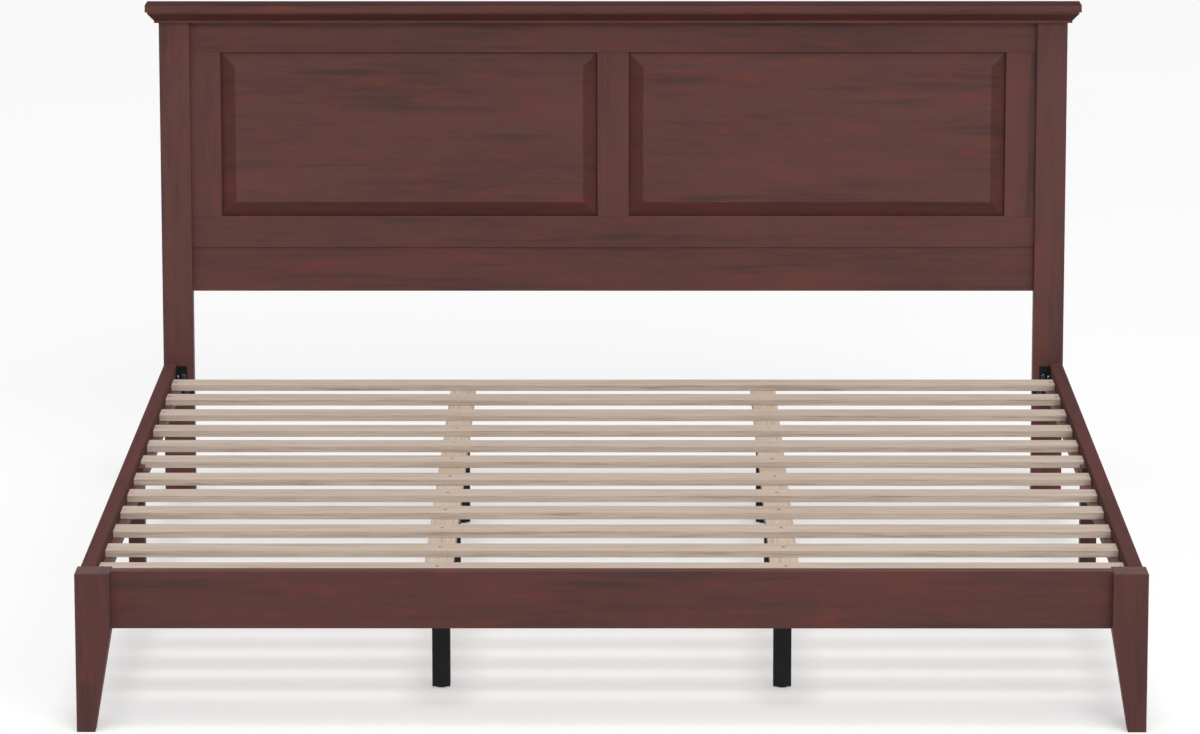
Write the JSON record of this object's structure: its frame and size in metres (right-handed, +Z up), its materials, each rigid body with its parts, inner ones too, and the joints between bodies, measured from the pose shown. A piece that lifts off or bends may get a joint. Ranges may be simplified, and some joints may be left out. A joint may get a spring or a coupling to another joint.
{
  "type": "platform bed",
  "caption": "Wooden platform bed with a raised-panel headboard, low foot rail, slats on lengthwise beams and steel centre legs.",
  "frame": {"origin": "middle of the footprint, on the floor", "axes": "+X to the right seen from the foot, +Y from the foot to the headboard, +Z up"},
  "size_m": [2.063, 2.15, 1.113],
  "materials": {
    "stained_wood": "satin cherry stain",
    "slat_wood": "planed, unfinished",
    "block_wood": "planed, unfinished",
    "dowel_wood": "fluted beech",
    "black_steel": "black powder coat",
    "foot_plastic": "moulded",
    "plug_plastic": "moulded",
    "zinc_steel": "bright zinc"
  },
  "bodies": {
    "bed": {"beam_joint_block_left": "block_wood", "beam_joint_block_right": "block_wood", "bracket_bolts": "zinc_steel", "cap_board": "stained_wood", "cap_moulding": "stained_wood", "corner_brackets": "black_steel", "dowels": "dowel_wood", "foot_rail": "stained_wood", "front_beam_left": "slat_wood", "front_beam_right": "slat_wood", "front_cleat_left": "stained_wood", "front_cleat_right": "stained_wood", "front_leg_left": "stained_wood", "front_leg_right": "stained_wood", "head_post_left": "stained_wood", "head_post_right": "stained_wood", "headboard_bottom_rail": "stained_wood", "headboard_lower_board": "stained_wood", "headboard_top_rail": "stained_wood", "left_stile": "stained_wood", "mid_leg_left": "stained_wood", "mid_leg_right": "stained_wood", "middle_stile": "stained_wood", "moulding_backing_strip": "stained_wood", "plate_screws": "zinc_steel", "raised_panel_left": "stained_wood", "raised_panel_right": "stained_wood", "rear_beam_left": "slat_wood", "rear_beam_right": "slat_wood", "rear_cleat_left": "stained_wood", "rear_cleat_right": "stained_wood", "right_stile": "stained_wood", "side_rail_left": "stained_wood", "side_rail_right": "stained_wood", "slat_01": "slat_wood", "slat_02": "slat_wood", "slat_03": "slat_wood", "slat_04": "slat_wood", "slat_05": "slat_wood", "slat_06": "slat_wood", "slat_07": "slat_wood", "slat_08": "slat_wood", "slat_09": "slat_wood", "slat_10": "slat_wood", "slat_11": "slat_wood", "slat_12": "slat_wood", "steel_leg_front_left": "black_steel", "steel_leg_front_right": "black_steel", "steel_leg_middle_left": "black_steel", "steel_leg_middle_right": "black_steel", "steel_leg_rear_left": "black_steel", "steel_leg_rear_right": "black_steel", "tube_plugs": "plug_plastic", "wood_screws": "zinc_steel"},
    "levelling_foot_front_left": {"levelling_foot_front_left": "foot_plastic"},
    "levelling_foot_front_right": {"levelling_foot_front_right": "foot_plastic"},
    "levelling_foot_middle_left": {"levelling_foot_middle_left": "foot_plastic"},
    "levelling_foot_middle_right": {"levelling_foot_middle_right": "foot_plastic"},
    "levelling_foot_rear_left": {"levelling_foot_rear_left": "foot_plastic"},
    "levelling_foot_rear_right": {"levelling_foot_rear_right": "foot_plastic"}
  },
  "joints": [
    {"name": "levelling_foot_front_left_travel", "type": "slide", "parent": "bed", "child": "levelling_foot_front_left", "axis": [0, 0, -1], "range_m": [0, 0.012]},
    {"name": "levelling_foot_front_right_travel", "type": "slide", "parent": "bed", "child": "levelling_foot_front_right", "axis": [0, 0, -1], "range_m": [0, 0.012]},
    {"name": "levelling_foot_middle_left_travel", "type": "slide", "parent": "bed", "child": "levelling_foot_middle_left", "axis": [0, 0, -1], "range_m": [0, 0.012]},
    {"name": "levelling_foot_middle_right_travel", "type": "slide", "parent": "bed", "child": "levelling_foot_middle_right", "axis": [0, 0, -1], "range_m": [0, 0.012]},
    {"name": "levelling_foot_rear_left_travel", "type": "slide", "parent": "bed", "child": "levelling_foot_rear_left", "axis": [0, 0, -1], "range_m": [0, 0.012]},
    {"name": "levelling_foot_rear_right_travel", "type": "slide", "parent": "bed", "child": "levelling_foot_rear_right", "axis": [0, 0, -1], "range_m": [0, 0.012]}
  ]
}
